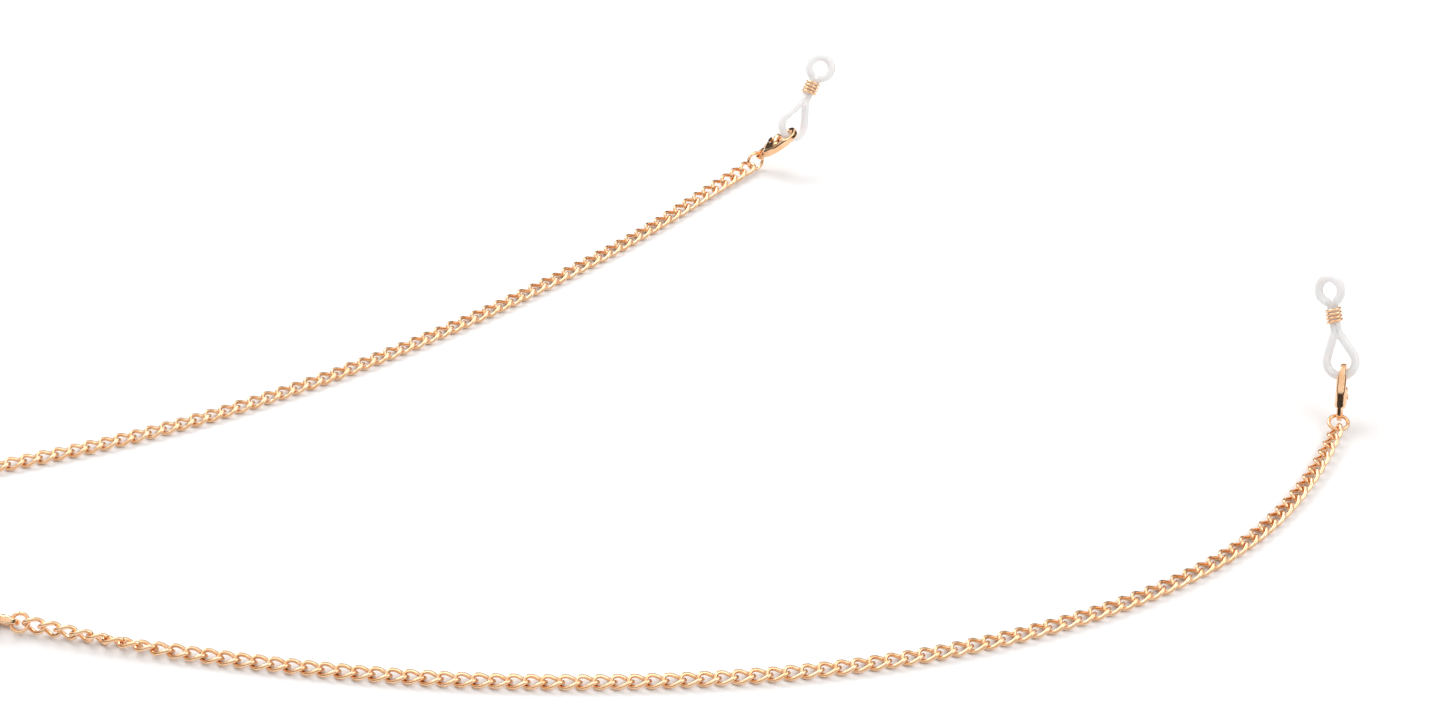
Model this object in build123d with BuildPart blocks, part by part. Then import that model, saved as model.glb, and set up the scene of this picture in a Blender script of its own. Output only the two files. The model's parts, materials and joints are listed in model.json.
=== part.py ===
from build123d import *
import os
from math import atan2, cos, degrees, pi, radians, sin

# Eyeglasses chain strap: a curb chain in two runs, joined in the middle by a lobster clasp, with a
# lobster clasp, a silicone temple loop and a sliding wire coil at each end. It lies on a surface,
# and its two temple loops stand up from it as they do on the arms of a pair of glasses.
# Millimetres, +Z up, the surface at Z = 0, -Y is the side that faces the wearer of the glasses.

# ---- chain ----
PITCH = 3.42
LINK_WIRE = 0.9
LINK_WIDTH = 3.8
LINK_PLAY = 0.06
LINK_TWIST = -50.0
LINK_SIDE_SLOPE = -0.62
LINKS_PER_RUN = 90
LINKS_PER_SECTION = 6
LINK_ROLL = 2.0
ROLL_STEP = 2.4
ROLL_LINKS = 9
FRONT_START_ROLL = -100.0
FRONT_END_ROLL = -32.0
BACK_START_ROLL = -15.0
BACK_END_ROLL = 40.0
LINK_TIP = (PITCH + LINK_WIRE) / 2 + LINK_PLAY / 2
LINK_SIDE = (LINK_WIDTH - LINK_WIRE) / 2
CHAIN_HEIGHT = 1.09

# ---- jump rings ----
RING_WIRE = 0.8
RING_RADIUS = 2.1
MIDDLE_RING_RADIUS = 1.9
RING_PLAY = 0.12
HELD_SHARE = 0.5
RING_TO_LINK = (RING_WIRE + LINK_WIRE) / 2 + RING_PLAY

# ---- lobster clasp: +X from the tail eye to the hook, -Y the side with the lever ----
CLASP_THICK = 2.4
TAIL_THICK = 1.0
TAIL_RADIUS = 1.5
TAIL_LENGTH = 2.6
EYE_RADIUS = 0.85
EYE_TO_RING = -0.3
HOOK_TO_RING = 9.35
HOOK_THICK = 1.3
MIDDLE_ROLL = 45.0
BELLY_X = 4.9
BELLY_RADIUS = 2.6
HOOK_X = 8.75
HOOK_RADIUS = 2.45
MOUTH_TOP_X = 8.7
MOUTH_TOP_RADIUS = 1.4
MOUTH_LOW_X = 6.8
MOUTH_LOW_RADIUS = 1.2
SLOT_THICK = 1.0
LEVER_THICK = 0.9
LEVER_RADIUS = 0.9
KNOB_RADIUS = 0.6
PIVOT_X = 3.9
PIVOT_Y = -1.45
PIN_RADIUS = 0.42
PIN_PLAY = 0.03
PIN_HEAD_RADIUS = 0.65
PIN_HEAD_THICK = 0.12
NOSE_X = 7.9
NOSE_GAP = 0.12
NOSE_LEAN = 0.35
WAY_IN_X = 6.2
EDGE_ROUND = 0.6
SPRING_THICK = 0.14
SPRING_WIDTH = 0.7

# ---- silicone temple loop: +Z from the hooked end to the temple opening ----
TUBE_RADIUS = 0.95
NECK_RADIUS = 0.6
NECK_OFFSET = 0.64
NECK_LENGTH = 5.2
HOOKED_RADIUS = 3.15
HOOKED_LEAN = 25.0
SHOULDER_RADIUS = 4.2
OPENING_RADIUS = 2.75
OPENING_LEAN = 55.0
THROAT_RADIUS = 1.4
NECK_STEPS = 2
HOOKED_STRAIGHT = (
    HOOKED_RADIUS * cos(radians(HOOKED_LEAN))
    - NECK_OFFSET
    - SHOULDER_RADIUS * (1 - cos(radians(HOOKED_LEAN)))
) / sin(radians(HOOKED_LEAN))
NECK_START = (
    HOOKED_RADIUS
    + (HOOKED_RADIUS + SHOULDER_RADIUS) * sin(radians(HOOKED_LEAN))
    + HOOKED_STRAIGHT * cos(radians(HOOKED_LEAN))
)
NECK_END = NECK_START + NECK_LENGTH
OPENING_STRAIGHT = (
    OPENING_RADIUS * cos(radians(OPENING_LEAN))
    - NECK_OFFSET
    - THROAT_RADIUS * (1 - cos(radians(OPENING_LEAN)))
) / sin(radians(OPENING_LEAN))
LOOP_TOP = (
    NECK_END
    + OPENING_RADIUS
    + (OPENING_RADIUS + THROAT_RADIUS) * sin(radians(OPENING_LEAN))
    + OPENING_STRAIGHT * cos(radians(OPENING_LEAN))
)
HOOKED_AT = 8.5

# ---- sliding coil ----
COIL_WIRE = 0.6
COIL_BORE = 1.28
COIL_TURNS = 5
COIL_PITCH = 0.82
COIL_GAP = 0.05
COIL_LENGTH = (COIL_TURNS - 1) * COIL_PITCH + COIL_WIRE
COIL_CENTRE = NECK_END - COIL_LENGTH / 2 - COIL_GAP

# ---- where things lie ----
FRONT_RUN = [
    (-110.48, -87.03, 2.4),
    (-98.78, -89.93, 1.98),
    (-88.58, -92.33, 1.6),
    (-58.28, -98.13, 1.13),
    (-28.28, -102.03, CHAIN_HEIGHT),
    (1.22, -103.23, CHAIN_HEIGHT),
    (30.72, -101.83, CHAIN_HEIGHT),
    (60.02, -97.33, CHAIN_HEIGHT),
    (89.92, -88.43, CHAIN_HEIGHT),
    (120.52, -73.23, CHAIN_HEIGHT),
    (140.62, -56.83, CHAIN_HEIGHT),
    (157.92, -32.13, 1.48),
    (164.02, -19.23, 1.91),
]
BACK_RUN = [
    (-126.46, -82.47, 2.68),
    (-136.78, -79.73, 1.96),
    (-145.78, -76.53, 1.6),
    (-159.48, -69.33, 1.16),
    (-167.28, -57.43, CHAIN_HEIGHT),
    (-159.88, -45.33, CHAIN_HEIGHT),
    (-143.78, -38.33, CHAIN_HEIGHT),
    (-125.68, -32.33, CHAIN_HEIGHT),
    (-98.48, -21.63, CHAIN_HEIGHT),
    (-68.88, -5.63, CHAIN_HEIGHT),
    (-39.38, 14.97, CHAIN_HEIGHT),
    (-9.28, 40.97, CHAIN_HEIGHT),
    (11.12, 61.67, CHAIN_HEIGHT),
    (26.52, 79.17, 1.56),
    (36.82, 90.47, 2.06),
]
UP = Vector(0, 0, 1)


def unit(x, y, z):
    """A direction."""
    return Vector(x, y, z).normalized()


def square_to(vector, axis):
    """The part of a vector that is square to an axis, as a direction."""
    return (vector - axis * vector.dot(axis)).normalized()


def turned(vector, axis, angle):
    """A vector turned about an axis through the origin."""
    along = axis * vector.dot(axis)
    across = vector - along
    return along + across * cos(radians(angle)) + axis.cross(across) * sin(radians(angle))


def frame(origin, x_dir, z_dir):
    """A location with its X axis along x_dir and its Z axis as near to z_dir as it can be."""
    return Plane(origin=origin, x_dir=x_dir, z_dir=square_to(z_dir, x_dir)).location


# ---- the chain's route ----
def run_joints(points):
    """The places where link meets link along one run, from its first to its last."""
    route = Spline(*points)
    return [
        route.position_at(k * PITCH, position_mode=PositionMode.LENGTH)
        for k in range(LINKS_PER_RUN + 1)
    ]


def link_frames(joints, start_roll, end_roll):
    """One location for each link of a run, each rolled a little, as links lie on a table."""
    frames = []
    for k in range(LINKS_PER_RUN):
        along = (joints[k + 1] - joints[k]).normalized()
        roll = LINK_ROLL * sin(ROLL_STEP * k)
        roll += start_roll * max(0, 1 - k / ROLL_LINKS)
        roll += end_roll * max(0, 1 - (LINKS_PER_RUN - 1 - k) / ROLL_LINKS)
        up = turned(square_to(UP, along), along, roll)
        frames.append(frame((joints[k] + joints[k + 1]) * 0.5, along, up))
    return frames


# ---- where the rings, clasps and loops lie ----
FRONT_JOINTS = run_joints(FRONT_RUN)
BACK_JOINTS = run_joints(BACK_RUN)
FRONT_FRAMES = link_frames(FRONT_JOINTS, FRONT_START_ROLL, FRONT_END_ROLL)
BACK_FRAMES = link_frames(BACK_JOINTS, BACK_START_ROLL, BACK_END_ROLL)


class LinkEnd:
    """The bend of a run's outermost link that a ring hangs on: its middle, and which way it runs."""

    def __init__(self, link_frame, sign):
        plane = Plane(link_frame)
        self.outward = plane.x_dir * sign
        self.middle = plane.origin + self.outward * LINK_TIP
        rise = plane.z_dir * (sin(radians(LINK_TWIST)) * sign)
        self.wire_dir = plane.y_dir * cos(radians(LINK_TWIST)) + rise


class HungRing:
    """A ring on a link's bend: the link holds it on its near side, a clasp on its far side."""

    def __init__(self, link_end, outward, far_dir, radius):
        held = square_to(link_end.wire_dir.cross(outward), outward)
        far = square_to(far_dir, outward)
        if held.dot(far) < 0:
            held = held * -1
        self.wire_dir = (held * HELD_SHARE + far * (1 - HELD_SHARE)).normalized()
        self.near = link_end.middle - outward * RING_TO_LINK
        self.centre = self.near + outward * radius
        self.far = self.near + outward * (2 * radius)
        self.frame = frame(self.centre, outward, outward.cross(self.wire_dir))


class TempleEnd:
    """Where one end's jump ring, clasp, loop and coil lie."""

    def __init__(self, run_end, ring_dir, clasp_dir, clasp_flat, loop_dir, temple_dir):
        self.run_end = run_end
        self.ring = HungRing(run_end, ring_dir, clasp_flat, RING_RADIUS)
        self.clasp = frame(self.ring.far - clasp_dir * EYE_TO_RING, clasp_dir, clasp_flat)
        self.hooked = (self.clasp * Pos(HOOKED_AT, 0, 0)).position
        side = square_to(clasp_flat, loop_dir)
        self.loop = Plane(origin=self.hooked, x_dir=side, z_dir=loop_dir).location
        self.temple_dir = square_to(temple_dir, loop_dir)
        across = self.temple_dir.cross(loop_dir)
        twist = degrees(atan2(side.cross(across).dot(loop_dir), side.dot(across)))
        self.twist = (twist + 90) % 180 - 90


RIGHT = TempleEnd(
    LinkEnd(FRONT_FRAMES[-1], 1),
    ring_dir=unit(0.25, 0.93, 0.22),
    clasp_dir=unit(0.088, 0.563, 0.822),
    clasp_flat=turned(unit(0.996, -0.048, -0.074), unit(0.088, 0.563, 0.822), -20),
    loop_dir=unit(-0.16, 0.54, 0.827),
    temple_dir=unit(0.55, 0.84, 0),
)
LEFT = TempleEnd(
    LinkEnd(BACK_FRAMES[-1], 1),
    ring_dir=unit(0.606, 0.576, 0.545),
    clasp_dir=unit(0.757, -0.097, 0.645),
    clasp_flat=turned(unit(0.588, 0.529, -0.610), unit(0.757, -0.097, 0.645), -30),
    loop_dir=unit(0.43, 0.575, 0.70),
    temple_dir=unit(0.31, 0.95, 0),
)
MIDDLE_DIR = unit(0.957, -0.29, 0)
MIDDLE_FLAT = turned(UP, MIDDLE_DIR, -MIDDLE_ROLL)
FRONT_START = LinkEnd(FRONT_FRAMES[0], -1)
CATCH_RING = HungRing(FRONT_START, FRONT_START.outward, MIDDLE_FLAT, MIDDLE_RING_RADIUS)
MIDDLE_CLASP = frame(CATCH_RING.far - MIDDLE_DIR * HOOK_TO_RING, MIDDLE_DIR, MIDDLE_FLAT)
BACK_START = LinkEnd(BACK_FRAMES[0], -1)
TAIL_EYE = (MIDDLE_CLASP * Pos(EYE_TO_RING, 0, 0)).position
TAIL_RING_DIR = (TAIL_EYE - BACK_START.middle).normalized()
TAIL_RING = HungRing(BACK_START, TAIL_RING_DIR, MIDDLE_FLAT, RING_RADIUS)


# ---- chain link ----
def bent_wire(start, tangent, end, radius):
    """A round wire bent in one arc, from start along tangent to end."""
    chord = end - start
    normal = tangent.cross(chord).normalized()
    inward = normal.cross(tangent)
    bend = chord.dot(chord) / (2 * chord.dot(inward))
    angle = 2 * degrees(atan2(tangent.cross(chord).length, tangent.dot(chord)))
    with BuildPart() as wire:
        with BuildSketch(Plane(origin=start, x_dir=inward, z_dir=tangent)):
            Circle(radius)
        revolve(axis=Axis(start + inward * bend, normal), revolution_arc=angle)
    return wire.part


def biarc_middle(start, start_dir, end, end_dir):
    """The point and direction where two arcs that join two directions meet."""
    chord = end - start
    a = 2 * (1 - start_dir.dot(end_dir))
    b = 2 * chord.dot(start_dir + end_dir)
    reach = (-b + (b * b + 4 * a * chord.dot(chord)) ** 0.5) / (2 * a)
    first = start + start_dir * reach
    second = end - end_dir * reach
    return (first + second) * 0.5, (second - first).normalized()


tip = Vector(LINK_TIP, 0, 0)
tip_dir = Vector(0, cos(radians(LINK_TWIST)), sin(radians(LINK_TWIST)))
side_mid = Vector(0, LINK_SIDE, 0)
side_dir = unit(-1, 0, -LINK_SIDE_SLOPE)
shoulder, shoulder_dir = biarc_middle(tip, tip_dir, side_mid, side_dir)

with BuildPart() as link_quarter:
    add(bent_wire(tip, tip_dir, shoulder, LINK_WIRE / 2))
    add(bent_wire(shoulder, shoulder_dir, side_mid, LINK_WIRE / 2))

with BuildPart() as link:
    add(link_quarter.part)
    add(link_quarter.part.rotate(Axis.X, 180))
    add(link_quarter.part.rotate(Axis.Y, 180))
    add(link_quarter.part.rotate(Axis.Z, 180))


# ---- jump rings ----
with BuildPart() as jump_ring:
    Torus(RING_RADIUS, RING_WIRE / 2)

with BuildPart() as middle_ring:
    Torus(MIDDLE_RING_RADIUS, RING_WIRE / 2)


# ---- lobster clasp ----
with BuildPart() as clasp_body:
    with BuildSketch(Plane.XY.offset(-CLASP_THICK / 2)):
        Circle(TAIL_RADIUS)
        with Locations((BELLY_X, 0)):
            Circle(BELLY_RADIUS)
        with Locations((HOOK_X, 0)):
            Circle(HOOK_RADIUS)
        make_hull()
    extrude(amount=CLASP_THICK)
    fillet(clasp_body.faces().sort_by(Axis.Z)[0].edges(), EDGE_ROUND)
    fillet(clasp_body.faces().sort_by(Axis.Z)[-1].edges(), EDGE_ROUND)
    # the mouth that the temple loop hangs in
    with BuildSketch(Plane.XY.offset(-CLASP_THICK)):
        with Locations((MOUTH_TOP_X, 0)):
            Circle(MOUTH_TOP_RADIUS)
        with Locations((MOUTH_LOW_X, 0)):
            Circle(MOUTH_LOW_RADIUS)
        make_hull()
    extrude(amount=2 * CLASP_THICK, mode=Mode.SUBTRACT)
    # the way into the mouth, which the lever closes
    with BuildSketch(Plane.XY.offset(-CLASP_THICK)):
        Polygon(
            (WAY_IN_X, -MOUTH_LOW_RADIUS / 2),
            (NOSE_X + 0.1, -MOUTH_LOW_RADIUS / 2),
            (NOSE_X, -MOUTH_TOP_RADIUS),
            (NOSE_X - NOSE_LEAN, -HOOK_RADIUS),
            (NOSE_X - 1.3 * NOSE_LEAN, -BELLY_RADIUS - 0.5),
            (WAY_IN_X, -BELLY_RADIUS - 0.5),
            align=None,
        )
    extrude(amount=2 * CLASP_THICK, mode=Mode.SUBTRACT)
    # the slot that holds the lever and its spring, between two cheeks
    with BuildSketch(Plane.XY.offset(-SLOT_THICK / 2)):
        with Locations((2.4, -0.2)):
            Circle(0.9)
        with Locations((4.9, 0.4)):
            Circle(1.3)
        with Locations((4.6, -2.8)):
            Circle(1.4)
        with Locations((6.8, -2.0)):
            Circle(1.2)
        with Locations((6.8, 0.0)):
            Circle(MOUTH_LOW_RADIUS)
        make_hull()
    extrude(amount=SLOT_THICK, mode=Mode.SUBTRACT)
    # the thin tail and its eye
    with Locations((0, 0, TAIL_THICK / 2), (0, 0, -TAIL_THICK / 2 - CLASP_THICK)):
        Box(
            TAIL_LENGTH,
            2 * BELLY_RADIUS,
            CLASP_THICK,
            align=(Align.CENTER, Align.CENTER, Align.MIN),
            mode=Mode.SUBTRACT,
        )
    Cylinder(EYE_RADIUS, 2 * CLASP_THICK, mode=Mode.SUBTRACT)
    # the hook thins towards its bend
    for face in (1, -1):
        with BuildSketch(Plane.XZ.offset(-2 * BELLY_RADIUS)):
            Polygon(
                (NOSE_X, face * CLASP_THICK / 2),
                (HOOK_X + 0.6, face * HOOK_THICK / 2),
                (HOOK_X + 2 * HOOK_RADIUS, face * HOOK_THICK / 2),
                (HOOK_X + 2 * HOOK_RADIUS, face * CLASP_THICK),
                (NOSE_X, face * CLASP_THICK),
                align=None,
            )
        extrude(amount=4 * BELLY_RADIUS, mode=Mode.SUBTRACT)
    with Locations((PIVOT_X, PIVOT_Y, 0)):
        Cylinder(PIN_RADIUS, 2 * CLASP_THICK, mode=Mode.SUBTRACT)

with BuildPart() as clasp_lever:
    with BuildSketch(Plane.XY.offset(-LEVER_THICK / 2)):
        with Locations((PIVOT_X, PIVOT_Y)):
            Circle(LEVER_RADIUS)
        Polygon(
            (PIVOT_X, PIVOT_Y + LEVER_RADIUS),
            (NOSE_X - NOSE_GAP, -MOUTH_TOP_RADIUS),
            (NOSE_X - NOSE_GAP - NOSE_LEAN, -HOOK_RADIUS),
            (PIVOT_X, PIVOT_Y - LEVER_RADIUS),
            align=None,
        )
        # the thumb knob
        with Locations((5.4, -2.9)):
            Circle(KNOB_RADIUS)
        with BuildLine():
            Polyline((4.6, -2.0), (4.85, -3.1), (5.95, -3.1), (6.4, -2.0), close=True)
        make_face()
    extrude(amount=LEVER_THICK)
    with Locations((PIVOT_X, PIVOT_Y, 0)):
        Cylinder(PIN_RADIUS + PIN_PLAY, CLASP_THICK, mode=Mode.SUBTRACT)

with BuildPart() as clasp_pin:
    with Locations((PIVOT_X, PIVOT_Y, 0)):
        Cylinder(PIN_RADIUS, CLASP_THICK)
        with Locations((0, 0, CLASP_THICK / 2), (0, 0, -CLASP_THICK / 2 - PIN_HEAD_THICK)):
            Cylinder(
                PIN_HEAD_RADIUS,
                PIN_HEAD_THICK,
                align=(Align.CENTER, Align.CENTER, Align.MIN),
            )

with BuildPart() as clasp_spring:
    with BuildSketch(Plane.XY.offset(-SPRING_WIDTH / 2)):
        with BuildLine():
            Spline((1.58, -0.45), (2.3, 0.5), (3.6, 0.75), (4.6, 0.3), (5.2, -0.66))
        trace(line_width=SPRING_THICK)
    extrude(amount=SPRING_WIDTH)


# ---- silicone temple loop ----
def tapered(stations):
    """A tube through planes that lie across it, with its radius at each."""
    with BuildPart() as tube:
        for plane, radius in stations:
            with BuildSketch(plane):
                Circle(radius)
        loft()
    return tube.part


def straight(start, direction, length, radius):
    """A straight tube."""
    with BuildPart() as tube:
        with BuildSketch(Plane(origin=start, z_dir=direction)):
            Circle(radius)
        extrude(amount=length)
    return tube.part


def arc_plane(centre, radius, angle, heading, twist):
    """The plane across the tube at an angle round an arc that lies in the loop's own plane."""
    origin = Vector(centre[0] + radius * cos(radians(angle)), 0, centre[1] + radius * sin(radians(angle)))
    direction = Vector(cos(radians(heading)), 0, sin(radians(heading)))
    return Plane(
        origin=turned(origin, UP, twist),
        x_dir=turned(Vector(0, 1, 0), UP, twist),
        z_dir=turned(direction, UP, twist),
    )


def loop_strand(twist):
    """One strand, from the hooked bend through the coil to the bend of the opening."""
    low_end = arc_plane((0, HOOKED_RADIUS), HOOKED_RADIUS, HOOKED_LEAN, 90 + HOOKED_LEAN, 0)
    shoulder_centre = (NECK_OFFSET + SHOULDER_RADIUS, NECK_START)
    shoulder_stations = [
        (
            arc_plane(shoulder_centre, SHOULDER_RADIUS, 180 + lean, 90 + lean, 0),
            NECK_RADIUS + (TUBE_RADIUS - NECK_RADIUS) * lean / HOOKED_LEAN,
        )
        for lean in (HOOKED_LEAN, HOOKED_LEAN / 2, 0)
    ]
    neck_stations = []
    for k in range(NECK_STEPS + 1):
        share = k / NECK_STEPS
        angle = twist * (3 * share**2 - 2 * share**3)
        point = turned(Vector(NECK_OFFSET, 0, NECK_START + share * NECK_LENGTH), UP, angle)
        neck_stations.append((Plane(origin=point, x_dir=(0, 1, 0), z_dir=UP), NECK_RADIUS))
    throat_centre = (NECK_OFFSET + THROAT_RADIUS, NECK_END)
    throat_stations = [
        (
            arc_plane(throat_centre, THROAT_RADIUS, 180 - lean, 90 - lean, twist),
            NECK_RADIUS + (TUBE_RADIUS - NECK_RADIUS) * lean / OPENING_LEAN,
        )
        for lean in (0, OPENING_LEAN / 2, OPENING_LEAN)
    ]
    throat_end = throat_stations[-1][0]
    with BuildPart() as half:
        add(straight(low_end.origin, low_end.z_dir, HOOKED_STRAIGHT, TUBE_RADIUS))
        add(tapered(shoulder_stations))
        add(tapered(neck_stations))
        add(tapered(throat_stations))
        add(straight(throat_end.origin, throat_end.z_dir, OPENING_STRAIGHT, TUBE_RADIUS))
    return half.part


def silicone_loop(twist):
    """The whole loop, with its strands drawn thin where the coil grips them."""
    one_strand = loop_strand(twist)
    hooked = (0, HOOKED_RADIUS)
    low_start = arc_plane(hooked, HOOKED_RADIUS, 180 - HOOKED_LEAN, 270 - HOOKED_LEAN, 0)
    low_end = arc_plane(hooked, HOOKED_RADIUS, HOOKED_LEAN, 90 + HOOKED_LEAN, 0)
    opening = (0, LOOP_TOP - OPENING_RADIUS)
    top_start = arc_plane(opening, OPENING_RADIUS, -OPENING_LEAN, 90 - OPENING_LEAN, twist)
    top_end = arc_plane(opening, OPENING_RADIUS, 180 + OPENING_LEAN, OPENING_LEAN - 90, twist)
    with BuildPart() as loop:
        add(bent_wire(low_start.origin, low_start.z_dir, low_end.origin, TUBE_RADIUS))
        add(one_strand)
        add(one_strand.rotate(Axis.Z, 180))
        add(bent_wire(top_start.origin, top_start.z_dir, top_end.origin, TUBE_RADIUS))
    return loop.part


def wire_coil():
    """The close-wound coil that slides on the two strands."""
    with BuildPart() as coil:
        with BuildLine() as turns:
            Helix(COIL_PITCH, COIL_PITCH * (COIL_TURNS - 1), COIL_BORE + COIL_WIRE / 2)
        with BuildSketch(Plane(origin=turns.line @ 0, z_dir=turns.line % 0)):
            Circle(COIL_WIRE / 2)
        sweep()
    return coil.part


# ---- the pieces in place, each in its own file ----
def save(builder, name):
    """Writes one piece."""
    builder.part.label = name
    export_step(builder.part, f"parts/{name}.step")


os.makedirs("parts", exist_ok=True)

for run, frames in (("front", FRONT_FRAMES), ("back", BACK_FRAMES)):
    for first in range(0, LINKS_PER_RUN, LINKS_PER_SECTION):
        with BuildPart() as section:
            with Locations(*frames[first : first + LINKS_PER_SECTION]):
                add(link.part)
        save(section, f"{run}_chain_{first // LINKS_PER_SECTION + 1:02d}")

for side, end in (("right", RIGHT), ("left", LEFT)):
    with BuildPart() as placed_ring:
        with Locations(end.ring.frame):
            add(jump_ring.part)
    save(placed_ring, f"{side}_jump_ring")
    with BuildPart() as placed_loop:
        with Locations(end.loop):
            add(silicone_loop(end.twist))
    save(placed_loop, f"{side}_silicone_loop")
    with BuildPart() as placed_coil:
        with Locations(end.loop * Pos(0, 0, COIL_CENTRE - COIL_LENGTH / 2 + COIL_WIRE / 2)):
            add(wire_coil())
    save(placed_coil, f"{side}_loop_coil")

with BuildPart() as catch_ring:
    with Locations(CATCH_RING.frame):
        add(middle_ring.part)
save(catch_ring, "catch_ring")

with BuildPart() as tail_ring:
    with Locations(TAIL_RING.frame):
        add(jump_ring.part)
save(tail_ring, "middle_jump_ring")

for side, place in (("right", RIGHT.clasp), ("left", LEFT.clasp), ("middle", MIDDLE_CLASP)):
    for piece, shape in (
        ("body", clasp_body),
        ("lever", clasp_lever),
        ("pin", clasp_pin),
        ("spring", clasp_spring),
    ):
        with BuildPart() as placed:
            with Locations(place):
                add(shape.part)
        save(placed, f"{side}_clasp_{piece}")
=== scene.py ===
import json
import math

import bmesh
import bpy
import numpy as np
from mathutils import Matrix, Vector
from mathutils.kdtree import KDTree


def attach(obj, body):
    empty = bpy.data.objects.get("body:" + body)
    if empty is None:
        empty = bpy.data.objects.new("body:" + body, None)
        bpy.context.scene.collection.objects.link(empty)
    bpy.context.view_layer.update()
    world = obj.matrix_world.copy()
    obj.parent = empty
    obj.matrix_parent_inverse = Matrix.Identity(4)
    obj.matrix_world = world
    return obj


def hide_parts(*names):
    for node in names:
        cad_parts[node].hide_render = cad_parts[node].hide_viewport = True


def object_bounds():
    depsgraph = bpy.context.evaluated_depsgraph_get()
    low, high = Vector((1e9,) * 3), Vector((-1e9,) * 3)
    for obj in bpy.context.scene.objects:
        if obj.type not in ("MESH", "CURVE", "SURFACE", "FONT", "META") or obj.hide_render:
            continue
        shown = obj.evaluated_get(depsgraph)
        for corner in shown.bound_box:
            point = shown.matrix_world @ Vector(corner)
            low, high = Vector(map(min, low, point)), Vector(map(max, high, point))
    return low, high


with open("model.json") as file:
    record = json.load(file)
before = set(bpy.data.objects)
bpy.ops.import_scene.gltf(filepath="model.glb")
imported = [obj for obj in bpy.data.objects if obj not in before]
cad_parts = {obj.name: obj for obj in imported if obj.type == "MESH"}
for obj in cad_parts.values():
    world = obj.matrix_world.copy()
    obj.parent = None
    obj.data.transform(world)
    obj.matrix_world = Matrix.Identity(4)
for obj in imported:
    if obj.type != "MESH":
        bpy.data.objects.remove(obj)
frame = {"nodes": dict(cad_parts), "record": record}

cad_low, cad_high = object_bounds()

# Eyeglasses chain strap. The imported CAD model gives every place: links, rings and clasps are found
# from their CAD nodes, and each finished mesh rides on the body of the node that it replaces.
# Lengths are in metres.

MM = 0.001

# ---- sizes, as in the CAD model ----
PITCH = 3.42 * MM
LINK_WIRE = 0.9 * MM
LINK_SKIN = 0.02 * MM  # thins the link wire a little, so that links at their joints' limits stay apart
LINK_WIDTH = 3.8 * MM
LINK_PLAY = 0.06 * MM
LINK_TWIST = math.radians(-50)
LINK_SIDE_SLOPE = -0.62
RING_WIRE = 0.8 * MM
RING_SEAM = math.radians(5)
COIL_WIRE = 0.6 * MM
COIL_BORE = 1.28 * MM
COIL_TURNS = 5
COIL_PITCH = 0.82 * MM

# ---- mesh detail ----
ARC_STEPS = 6
WIRE_SIDES = 14
RING_STEPS = 96
COIL_STEPS = 40
CLASP_VOXEL = 0.09 * MM
CLASP_PASSES = 40
CLASP_CORE = 0.5 * MM  # half the slot's thickness, which rounding leaves as it is
CLASP_ROUND = 1.15 * MM  # how far in from the outline the faces are rounded
CLASP_FALL = 0.72  # share of the thickness outside the core that goes at the outline
WALL_TILT = 0.5
WELD = 1e-6
LEVER_PASSES = 8
LOOP_VOXEL = 0.11 * MM
LOOP_PASSES = 6
SMOOTH_SHARE = 0.5

# ---- camera and light ----
CAMERA_PLACE = Vector((0.02872, -0.55693, 0.3961))
CAMERA_DOWN = math.radians(35)
CAMERA_LENS = 76.1
SENSOR_WIDTH = 36.0
CLIP_START = 0.01
CLIP_END = 100
FLOOR_SIZE = 40.0
KEY_PLACE = (-0.5, 0.7, 0.9)
KEY_POWER = 7
FILL_PLACE = (0.9, -0.3, 0.8)
FILL_POWER = 3
SOFTBOX_SIZE = 0.8
# brightness of the room by how high a ray looks, from level (0) to straight up (1)
ROOM_BY_HEIGHT = [(0.0, 0.3), (0.04, 0.03), (0.22, 0.04), (0.36, 0.62), (0.6, 1.05)]
ROOM_TINT = (1.0, 0.99, 0.985)
BACKDROP = 0.93


# ---- materials ----
class Nodes:
    """A material's node tree, with a short way to add nodes and join them."""

    def __init__(self, name):
        self.material = bpy.data.materials.new(name)
        self.material.use_nodes = True
        self.tree = self.material.node_tree
        self.tree.nodes.clear()
        self.shader = self.add("ShaderNodeBsdfPrincipled")
        out = self.add("ShaderNodeOutputMaterial")
        self.join(self.shader.outputs[0], out.inputs["Surface"])
        self.place = self.add("ShaderNodeTexCoord").outputs["Object"]

    def add(self, kind, **settings):
        node = self.tree.nodes.new(kind)
        for key, value in settings.items():
            setattr(node, key, value)
        return node

    def join(self, output, socket):
        self.tree.links.new(output, socket)

    def noise(self, scale, detail=3.0, rough=0.5):
        node = self.add("ShaderNodeTexNoise")
        node.inputs["Scale"].default_value = scale
        node.inputs["Detail"].default_value = detail
        node.inputs["Roughness"].default_value = rough
        self.join(self.place, node.inputs["Vector"])
        return node.outputs["Fac"]

    def ramp(self, source, stops):
        node = self.add("ShaderNodeValToRGB")
        band = node.color_ramp
        while len(band.elements) < len(stops):
            band.elements.new(0.5)
        for element, (at, colour) in zip(band.elements, stops):
            element.position = at
            element.color = (*colour, 1.0)
        self.join(source, node.inputs["Fac"])
        return node.outputs["Color"]

    def span(self, source, low, high):
        node = self.add("ShaderNodeMapRange")
        node.inputs["To Min"].default_value = low
        node.inputs["To Max"].default_value = high
        self.join(source, node.inputs["Value"])
        return node.outputs["Result"]

    def bump(self, source, strength, distance):
        node = self.add("ShaderNodeBump")
        node.inputs["Strength"].default_value = strength
        node.inputs["Distance"].default_value = distance
        self.join(source, node.inputs["Height"])
        self.join(node.outputs["Normal"], self.shader.inputs["Normal"])

    def set(self, **values):
        for key, value in values.items():
            self.shader.inputs[key.replace("_", " ")].default_value = value


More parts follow.
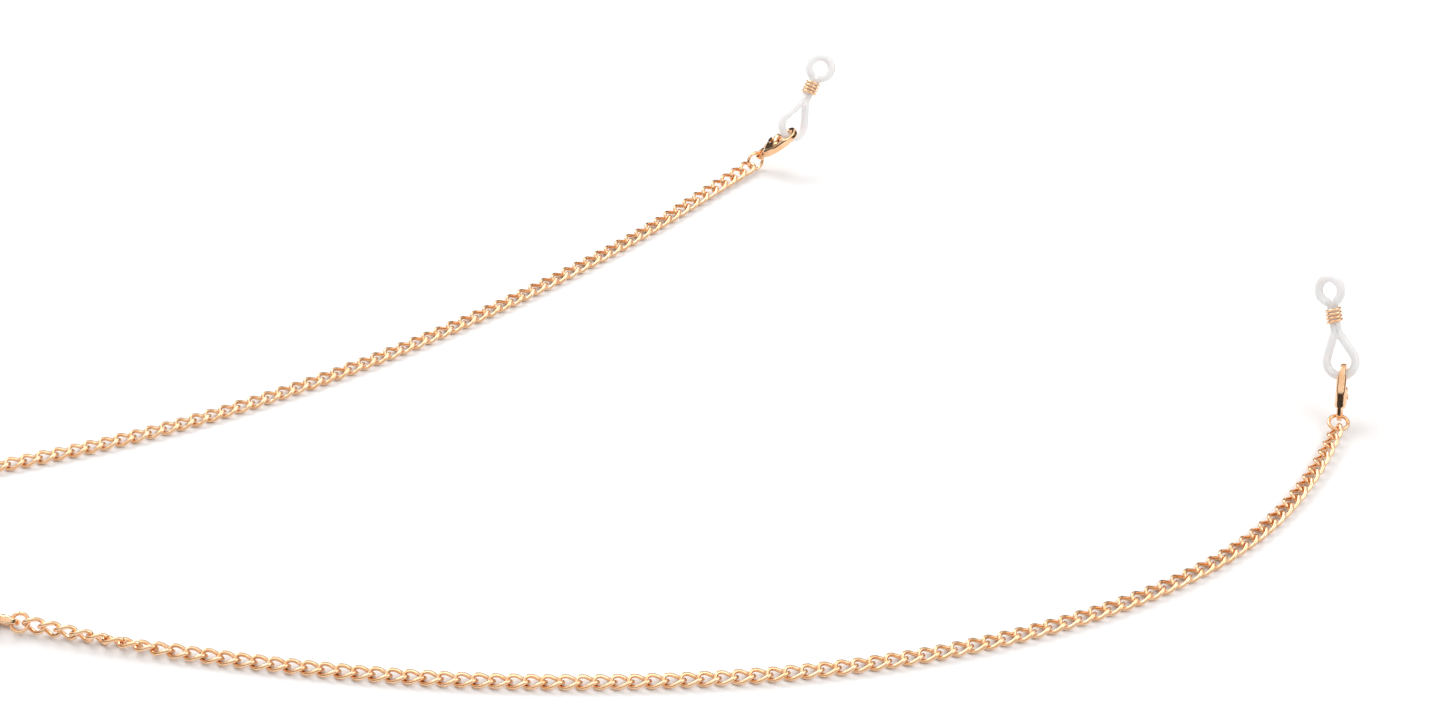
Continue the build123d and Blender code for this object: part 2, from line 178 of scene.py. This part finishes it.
def plated_gold(name, warm=1.0):
    """Polished rose-gold plating: slow colour drift, faint polishing marks and a few dull spots."""
    n = Nodes(name)
    n.set(Metallic=1.0)
    pale = (0.955, 0.665, 0.43)
    deep = (0.90, 0.53 * warm, 0.285 * warm)
    n.join(n.ramp(n.noise(420, 2.0), [(0.3, deep), (0.7, pale)]), n.shader.inputs["Base Color"])
    n.join(n.span(n.noise(2600, 4.0, 0.6), 0.07, 0.2), n.shader.inputs["Roughness"])
    n.bump(n.noise(5200, 2.0), 0.12, 0.00002)
    return n.material


def silicone(name):
    """Milky silicone with a faint pink cast, clearer where it is thin."""
    n = Nodes(name)
    n.set(Roughness=0.3, IOR=1.41, Transmission_Weight=0.2, Subsurface_Weight=0.85)
    n.set(Subsurface_Radius=(0.0022, 0.0018, 0.0017), Subsurface_Scale=1.0)
    rose = (1.0, 0.915, 0.90)
    milk = (1.0, 0.985, 0.98)
    n.join(n.ramp(n.noise(260, 3.0), [(0.35, rose), (0.65, milk)]), n.shader.inputs["Base Color"])
    n.bump(n.noise(1800, 3.0), 0.08, 0.00004)
    return n.material


def spring_steel(name):
    """Rolled spring strip, with its rolling marks."""
    n = Nodes(name)
    n.set(Metallic=1.0)
    grey = (0.55, 0.54, 0.53)
    light = (0.70, 0.69, 0.67)
    n.join(n.ramp(n.noise(900, 4.0), [(0.35, grey), (0.65, light)]), n.shader.inputs["Base Color"])
    n.join(n.span(n.noise(3000, 4.0), 0.22, 0.38), n.shader.inputs["Roughness"])
    return n.material


def white_paper(name):
    """The pale floor, a matt white sheet."""
    n = Nodes(name)
    n.set(Roughness=0.85)
    low = (0.86, 0.86, 0.865)
    high = (0.88, 0.88, 0.88)
    n.join(n.ramp(n.noise(30, 2.0), [(0.3, low), (0.7, high)]), n.shader.inputs["Base Color"])
    return n.material


GOLD = plated_gold("rose_gold")
CLASP_GOLD = plated_gold("clasp_gold", 0.97)
SILICONE = silicone("milky_silicone")
STEEL = spring_steel("spring_strip")


# ---- reading the CAD nodes ----
def triangles(mesh):
    """Centres and areas of a mesh's triangles."""
    mesh.calc_loop_triangles()
    places = np.array([v.co for v in mesh.vertices])
    index = np.array([t.vertices for t in mesh.loop_triangles])
    a, b, c = places[index[:, 0]], places[index[:, 1]], places[index[:, 2]]
    area = np.linalg.norm(np.cross(b - a, c - a), axis=1) / 2
    return (a + b + c) / 3, area


def own_frame(centres, area):
    """A solid's centre and its axes, longest first, from how its surface is spread."""
    middle = (centres * area[:, None]).sum(0) / area.sum()
    spread = centres - middle
    _, axes = np.linalg.eigh((spread * area[:, None]).T @ spread)
    x, y = Vector(axes[:, 2]), Vector(axes[:, 1])
    z = x.cross(y)
    return Matrix.Translation(Vector(middle)) @ Matrix((x, y, z)).transposed().to_4x4()


def islands(node):
    """The separate solids of a CAD node, each as its triangles' centres and areas."""
    work = bmesh.new()
    work.from_mesh(frame["nodes"][node].data)
    bmesh.ops.remove_doubles(work, verts=work.verts, dist=WELD)
    seen = set()
    found = []
    for first in work.faces:
        if first in seen:
            continue
        seen.add(first)
        stack = [first]
        group = []
        while stack:
            face = stack.pop()
            group.append(face)
            for edge in face.edges:
                for other in edge.link_faces:
                    if other not in seen:
                        seen.add(other)
                        stack.append(other)
        centres = np.array([f.calc_center_median() for f in group])
        found.append((centres, np.array([f.calc_area() for f in group])))
    work.free()
    return found


# ---- meshes ----
def new_piece(name, work, node, material):
    """Makes a smooth piece from a bmesh; it stands for a CAD node and rides on that node's body."""
    mesh = bpy.data.meshes.new(name)
    bmesh.ops.recalc_face_normals(work, faces=work.faces)
    work.to_mesh(mesh)
    work.free()
    mesh.polygons.foreach_set("use_smooth", [True] * len(mesh.polygons))
    piece = bpy.data.objects.new(name, mesh)
    bpy.context.scene.collection.objects.link(piece)
    finish_piece(piece, node, material)
    return piece


def finish_piece(piece, node, material):
    """Gives a piece its material and its body, and hides the CAD node that it stands for."""
    piece.data.materials.clear()
    piece.data.materials.append(material)
    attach(piece, body_of_node[node])
    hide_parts(node)


def tube(work, path, radius, closed, matrix=Matrix()):
    """A round tube along a path of (point, direction, side) rings, added to a bmesh."""
    rings = []
    for point, direction, side in path:
        up = direction.cross(side)
        ring = []
        for k in range(WIRE_SIDES):
            angle = 2 * math.pi * k / WIRE_SIDES
            place = point + side * (radius * math.cos(angle)) + up * (radius * math.sin(angle))
            ring.append(work.verts.new(matrix @ place))
        rings.append(ring)
    count = len(rings)
    for i in range(count if closed else count - 1):
        here, there = rings[i], rings[(i + 1) % count]
        for k in range(WIRE_SIDES):
            after = (k + 1) % WIRE_SIDES
            work.faces.new((here[k], here[after], there[after], there[k]))
    if not closed:
        work.faces.new(rings[0])
        work.faces.new(rings[-1])


def arc_rings(start, tangent, end):
    """Points and directions along one arc, from start along tangent, without its end."""
    chord = end - start
    normal = tangent.cross(chord).normalized()
    inward = normal.cross(tangent)
    bend = chord.dot(chord) / (2 * chord.dot(inward))
    angle = 2 * math.atan2(tangent.cross(chord).length, tangent.dot(chord))
    found = []
    for k in range(ARC_STEPS):
        turn = Matrix.Rotation(angle * k / ARC_STEPS, 3, normal)
        centre = start + inward * bend
        found.append((centre + turn @ (start - centre), turn @ tangent))
    return found


def biarc_middle(start, start_dir, end, end_dir):
    """The point and direction where two arcs that join two directions meet."""
    chord = end - start
    a = 2 * (1 - start_dir.dot(end_dir))
    b = 2 * chord.dot(start_dir + end_dir)
    reach = (-b + math.sqrt(b * b + 4 * a * chord.dot(chord))) / (2 * a)
    first = start + start_dir * reach
    second = end - end_dir * reach
    return (first + second) / 2, (second - first).normalized()


def link_path():
    """The middle line of one curb link, round its whole loop."""
    tip = Vector(((PITCH + LINK_WIRE + LINK_PLAY) / 2, 0, 0))
    tip_dir = Vector((0, math.cos(LINK_TWIST), math.sin(LINK_TWIST)))
    side = Vector((0, (LINK_WIDTH - LINK_WIRE) / 2, 0))
    side_dir = Vector((-1, 0, -LINK_SIDE_SLOPE)).normalized()
    shoulder, shoulder_dir = biarc_middle(tip, tip_dir, side, side_dir)
    quarter = arc_rings(tip, tip_dir, shoulder) + arc_rings(shoulder, shoulder_dir, side)
    half_turn = Matrix.Rotation(math.pi, 3, "Y")
    back = [(half_turn @ p, -(half_turn @ d)) for p, d in reversed(quarter[1:])]
    middle = [(side, side_dir)]
    half = quarter + middle + back
    turn = Matrix.Rotation(math.pi, 3, "Z")
    return half + [(turn @ p, turn @ d) for p, d in half]


def with_sides(path):
    """Adds to each ring a side direction that turns as little as it can along a closed path."""
    side = path[0][1].orthogonal().normalized()
    sides = []
    for _, direction in path + path[:1]:
        side = (side - direction * side.dot(direction)).normalized()
        sides.append(side)
    drift = math.atan2(sides[0].cross(sides[-1]).dot(path[0][1]), sides[0].dot(sides[-1]))
    turned = []
    for k, (point, direction) in enumerate(path):
        spin = Matrix.Rotation(-drift * k / len(path), 3, direction)
        turned.append((point, direction, spin @ sides[k]))
    return turned


def chain_section(node):
    """The links of one section of chain, each a twisted oval of round wire."""
    work = bmesh.new()
    for centres, area in islands(node):
        tube(work, LINK, (LINK_WIRE - LINK_SKIN) / 2, True, own_frame(centres, area))
    return new_piece(f"{node}_links", work, node, GOLD)


def jump_ring(node):
    """A ring of round wire with a small cut in it."""
    centres, area = triangles(frame["nodes"][node].data)
    place = own_frame(centres, area)
    middle = place.translation
    radius = np.linalg.norm(centres - np.array(middle), axis=1).max() - RING_WIRE / 2
    path = []
    for k in range(RING_STEPS + 1):
        angle = RING_SEAM / 2 + (2 * math.pi - RING_SEAM) * k / RING_STEPS
        out = Vector((math.cos(angle), math.sin(angle), 0))
        path.append((out * radius, Vector((-out.y, out.x, 0)), out))
    work = bmesh.new()
    tube(work, path, RING_WIRE / 2, False, place)
    return new_piece(f"{node}_wire", work, node, GOLD)


def loop_coil(node, axis):
    """The open-wound coil round the neck of a silicone loop."""
    centres, area = triangles(frame["nodes"][node].data)
    middle = Vector((centres * area[:, None]).sum(0) / area.sum())
    side = axis.orthogonal().normalized()
    place = Matrix.Translation(middle) @ Matrix((side, axis.cross(side), axis)).transposed().to_4x4()
    radius = COIL_BORE + COIL_WIRE / 2
    count = (COIL_TURNS - 1) * COIL_STEPS
    path = []
    for k in range(count + 1):
        angle = 2 * math.pi * k / COIL_STEPS
        rise = COIL_PITCH * (k / COIL_STEPS - (COIL_TURNS - 1) / 2)
        out = Vector((math.cos(angle), math.sin(angle), 0))
        along = Vector((-out.y, out.x, COIL_PITCH / (2 * math.pi * radius))).normalized()
        path.append((out * radius + Vector((0, 0, rise)), along, out))
    work = bmesh.new()
    tube(work, path, COIL_WIRE / 2, False, place)
    return new_piece(f"{node}_wire", work, node, GOLD)


def applied(piece):
    """Makes a piece's modifiers part of its mesh."""
    bpy.context.view_layer.update()
    graph = bpy.context.evaluated_depsgraph_get()
    piece.data = bpy.data.meshes.new_from_object(piece.evaluated_get(graph))
    piece.modifiers.clear()


def pillowed(piece, place):
    """Rounds a flat casting's outer faces down towards its outline; its middle slot stays as it is."""
    into = place.inverted()
    turn = into.to_3x3()
    corners = piece.data.vertices
    local = [into @ v.co for v in corners]
    wall = [p for p, v in zip(local, corners) if abs((turn @ v.normal).z) < WALL_TILT]
    tree = KDTree(len(wall))
    for k, p in enumerate(wall):
        tree.insert((p.x, p.y, 0), k)
    tree.balance()
    for p, v in zip(local, corners):
        if abs(p.z) <= CLASP_CORE:
            continue
        depth = min(tree.find((p.x, p.y, 0))[2] / CLASP_ROUND, 1.0)
        share = 1 - CLASP_FALL * (1 - math.sqrt(1 - (1 - depth) ** 2))
        p.z = math.copysign(CLASP_CORE + (abs(p.z) - CLASP_CORE) * share, p.z)
        v.co = place @ p


def softened(node, name, voxel, passes, material, pillow=False):
    """A CAD node's shape with its edges softened, as cast metal or moulded silicone has them."""
    piece = bpy.data.objects.new(name, frame["nodes"][node].data.copy())
    bpy.context.scene.collection.objects.link(piece)
    weld = piece.modifiers.new("weld", "WELD")
    weld.merge_threshold = WELD
    remesh = piece.modifiers.new("remesh", "REMESH")
    remesh.mode = "VOXEL"
    remesh.voxel_size = voxel
    remesh.use_smooth_shade = True
    applied(piece)
    if pillow:
        pillowed(piece, own_frame(*triangles(piece.data)))
    smooth = piece.modifiers.new("smooth", "SMOOTH")
    smooth.factor = SMOOTH_SHARE
    smooth.iterations = passes
    applied(piece)
    finish_piece(piece, node, material)
    return piece


def paint(node, material):
    """Gives a carried-over CAD node its material."""
    slots = frame["nodes"][node].data.materials
    slots.clear()
    slots.append(material)


# ---- the strap ----
record = frame["record"]
body_of_node = {n: body for body, nodes in record["behaviour"]["bodies"].items() for n in nodes}
joints = {j["name"]: j for j in record["behaviour"]["joints"]}
LINK = with_sides(link_path())

for node in sorted(body_of_node):
    if "_chain_" in node:
        chain_section(node)
    elif node.endswith("_ring"):
        jump_ring(node)
    elif node.endswith("_loop_coil"):
        side_name = node.split("_")[0]
        loop_coil(node, Vector(joints[f"{side_name}_coil_slide"]["axis"]))
    elif node.endswith("_silicone_loop"):
        softened(node, f"{node}_tube", LOOP_VOXEL, LOOP_PASSES, SILICONE)
    elif node.endswith("_clasp_body"):
        softened(node, f"{node}_cast", CLASP_VOXEL, CLASP_PASSES, CLASP_GOLD, pillow=True)
    elif node.endswith("_clasp_lever"):
        softened(node, f"{node}_cast", CLASP_VOXEL, LEVER_PASSES, CLASP_GOLD)
    elif node.endswith("_clasp_pin"):
        paint(node, CLASP_GOLD)
    elif node.endswith("_clasp_spring"):
        paint(node, STEEL)


# ---- floor, light and camera ----
def make_floor():
    """A wide pale sheet under the strap."""
    bpy.ops.mesh.primitive_plane_add(size=FLOOR_SIZE, location=(0, 0, min(0.0, cad_low.z)))
    floor = bpy.context.object
    floor.name = "floor"
    floor.data.materials.append(white_paper("white_floor"))


def area_light(name, place, size, power):
    """A square softbox that faces the middle of the strap."""
    lamp = bpy.data.lights.new(name, "AREA")
    lamp.size = size
    lamp.energy = power
    holder = bpy.data.objects.new(name, lamp)
    holder.location = place
    holder.rotation_euler = (-Vector(place)).to_track_quat("-Z", "Y").to_euler()
    bpy.context.scene.collection.objects.link(holder)


def make_world():
    """A bright studio: white overhead, dark low down where metal mirrors it, pale to the camera itself."""
    world = bpy.data.worlds.new("studio")
    bpy.context.scene.world = world
    world.use_nodes = True
    tree = world.node_tree
    tree.nodes.clear()
    place = tree.nodes.new("ShaderNodeTexCoord")
    split = tree.nodes.new("ShaderNodeSeparateXYZ")
    ramp = tree.nodes.new("ShaderNodeValToRGB")
    back = tree.nodes.new("ShaderNodeBackground")
    out = tree.nodes.new("ShaderNodeOutputWorld")
    band = ramp.color_ramp
    while len(band.elements) < len(ROOM_BY_HEIGHT):
        band.elements.new(0.5)
    for element, (at, value) in zip(band.elements, ROOM_BY_HEIGHT):
        element.position = at
        element.color = (*(value * tint for tint in ROOM_TINT), 1)
    back.inputs["Strength"].default_value = 1.0
    tree.links.new(place.outputs["Generated"], split.inputs[0])
    tree.links.new(split.outputs["Z"], ramp.inputs["Fac"])
    tree.links.new(ramp.outputs["Color"], back.inputs["Color"])
    pale = tree.nodes.new("ShaderNodeBackground")
    pale.inputs["Color"].default_value = (BACKDROP, BACKDROP, BACKDROP, 1)
    rays = tree.nodes.new("ShaderNodeLightPath")
    pick = tree.nodes.new("ShaderNodeMixShader")
    tree.links.new(rays.outputs["Is Camera Ray"], pick.inputs["Fac"])
    tree.links.new(back.outputs["Background"], pick.inputs[1])
    tree.links.new(pale.outputs["Background"], pick.inputs[2])
    tree.links.new(pick.outputs["Shader"], out.inputs["Surface"])


def make_camera():
    """The camera, in front of the strap and above it, looking down along +Y."""
    lens = bpy.data.cameras.new("camera")
    lens.lens = CAMERA_LENS
    lens.sensor_width = SENSOR_WIDTH
    lens.clip_start = CLIP_START
    lens.clip_end = CLIP_END
    holder = bpy.data.objects.new("camera", lens)
    holder.location = CAMERA_PLACE
    holder.rotation_euler = (math.pi / 2 - CAMERA_DOWN, 0, 0)
    bpy.context.scene.collection.objects.link(holder)
    bpy.context.scene.camera = holder


make_floor()
make_world()
area_light("key_softbox", KEY_PLACE, SOFTBOX_SIZE, KEY_POWER)
area_light("fill_softbox", FILL_PLACE, SOFTBOX_SIZE, FILL_POWER)
make_camera()
bpy.context.scene.view_settings.view_transform = "Standard"
